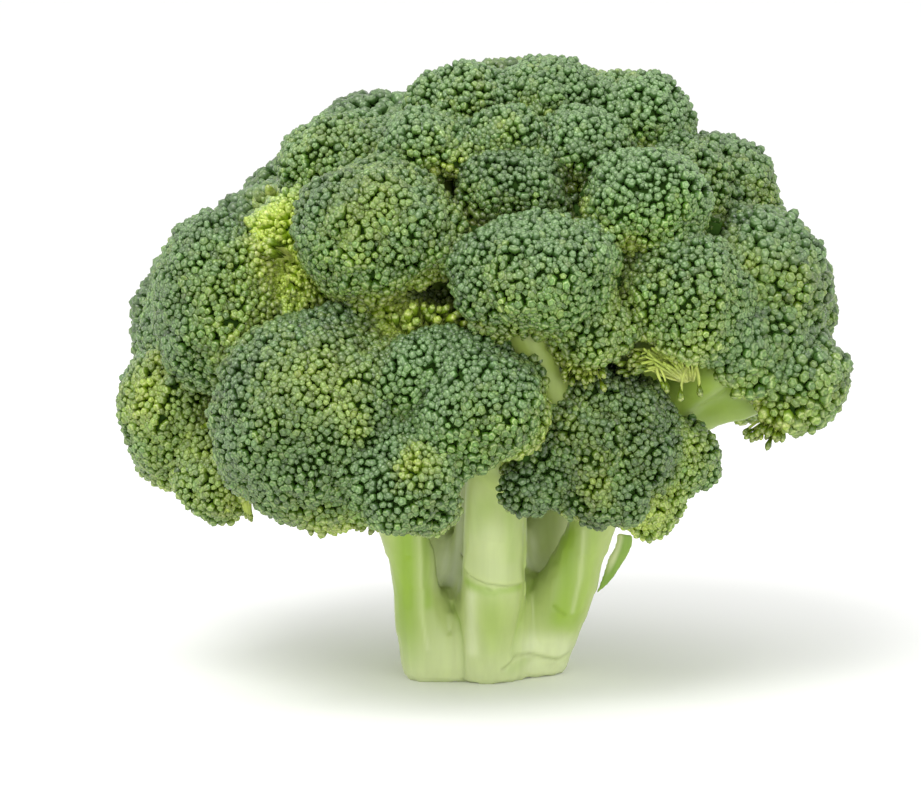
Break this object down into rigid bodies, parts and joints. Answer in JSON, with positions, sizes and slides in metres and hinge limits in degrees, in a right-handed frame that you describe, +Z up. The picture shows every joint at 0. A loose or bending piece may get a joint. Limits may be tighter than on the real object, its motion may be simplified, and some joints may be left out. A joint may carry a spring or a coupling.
{
  "type": "broccoli head",
  "caption": "Fresh broccoli head: a domed crown of bud-covered florets on a thick branching stalk that is cut flat, on which it stands.",
  "frame": {"origin": "under the middle of the head's box, on the surface that it stands on: the plane of the cut face", "axes": "+Z up the stalk, -Y towards the head's front, +X to the right as seen from the front"},
  "size_m": [0.1622, 0.1446, 0.1411],
  "materials": {
    "stalk": "smooth, faintly waxy, pale green skin with soft ribs",
    "floret": "packed round buds with a dull waxy bloom",
    "leaf": "thin smooth leaf blade"
  },
  "bodies": {
    "root": {"stalk": "stalk", "floret_front_left": "floret", "floret_front_left_low": "floret", "floret_front_middle": "floret", "floret_front_right": "floret", "floret_front_right_inner": "floret", "floret_front_right_low": "floret", "floret_front_right_side": "floret", "floret_front_between": "floret", "floret_centre": "floret", "floret_centre_low": "floret", "floret_left_high": "floret", "floret_left_low": "floret", "floret_left_under": "floret", "floret_left_cleft": "floret", "floret_left_cleft_low": "floret", "floret_right_inner": "floret", "floret_right_high": "floret", "floret_right_elbow": "floret", "floret_right_low": "floret", "floret_upper_left": "floret", "floret_middle_cleft": "floret", "floret_upper_middle": "floret", "floret_upper_right": "floret", "floret_crest_left": "floret", "floret_crest_middle": "floret", "floret_crest_right": "floret", "floret_shoulder_left": "floret", "floret_shoulder_right": "floret", "floret_top_left": "floret", "floret_top_middle": "floret", "floret_top_right": "floret", "floret_back_left_side": "floret", "floret_back_left_high": "floret", "floret_back_left_low": "floret", "floret_back_middle": "floret", "floret_back_middle_high": "floret", "floret_back_right_low": "floret", "floret_back_right_side": "floret", "floret_back_right_high": "floret", "floret_back_right_shoulder": "floret", "floret_top_back": "floret", "floret_top_back_left": "floret", "floret_right_middle": "floret", "floret_left_middle": "floret", "floret_left_back_shoulder": "floret", "floret_shoulder_inner": "floret", "side_leaf": "leaf"}
  },
  "joints": []
}
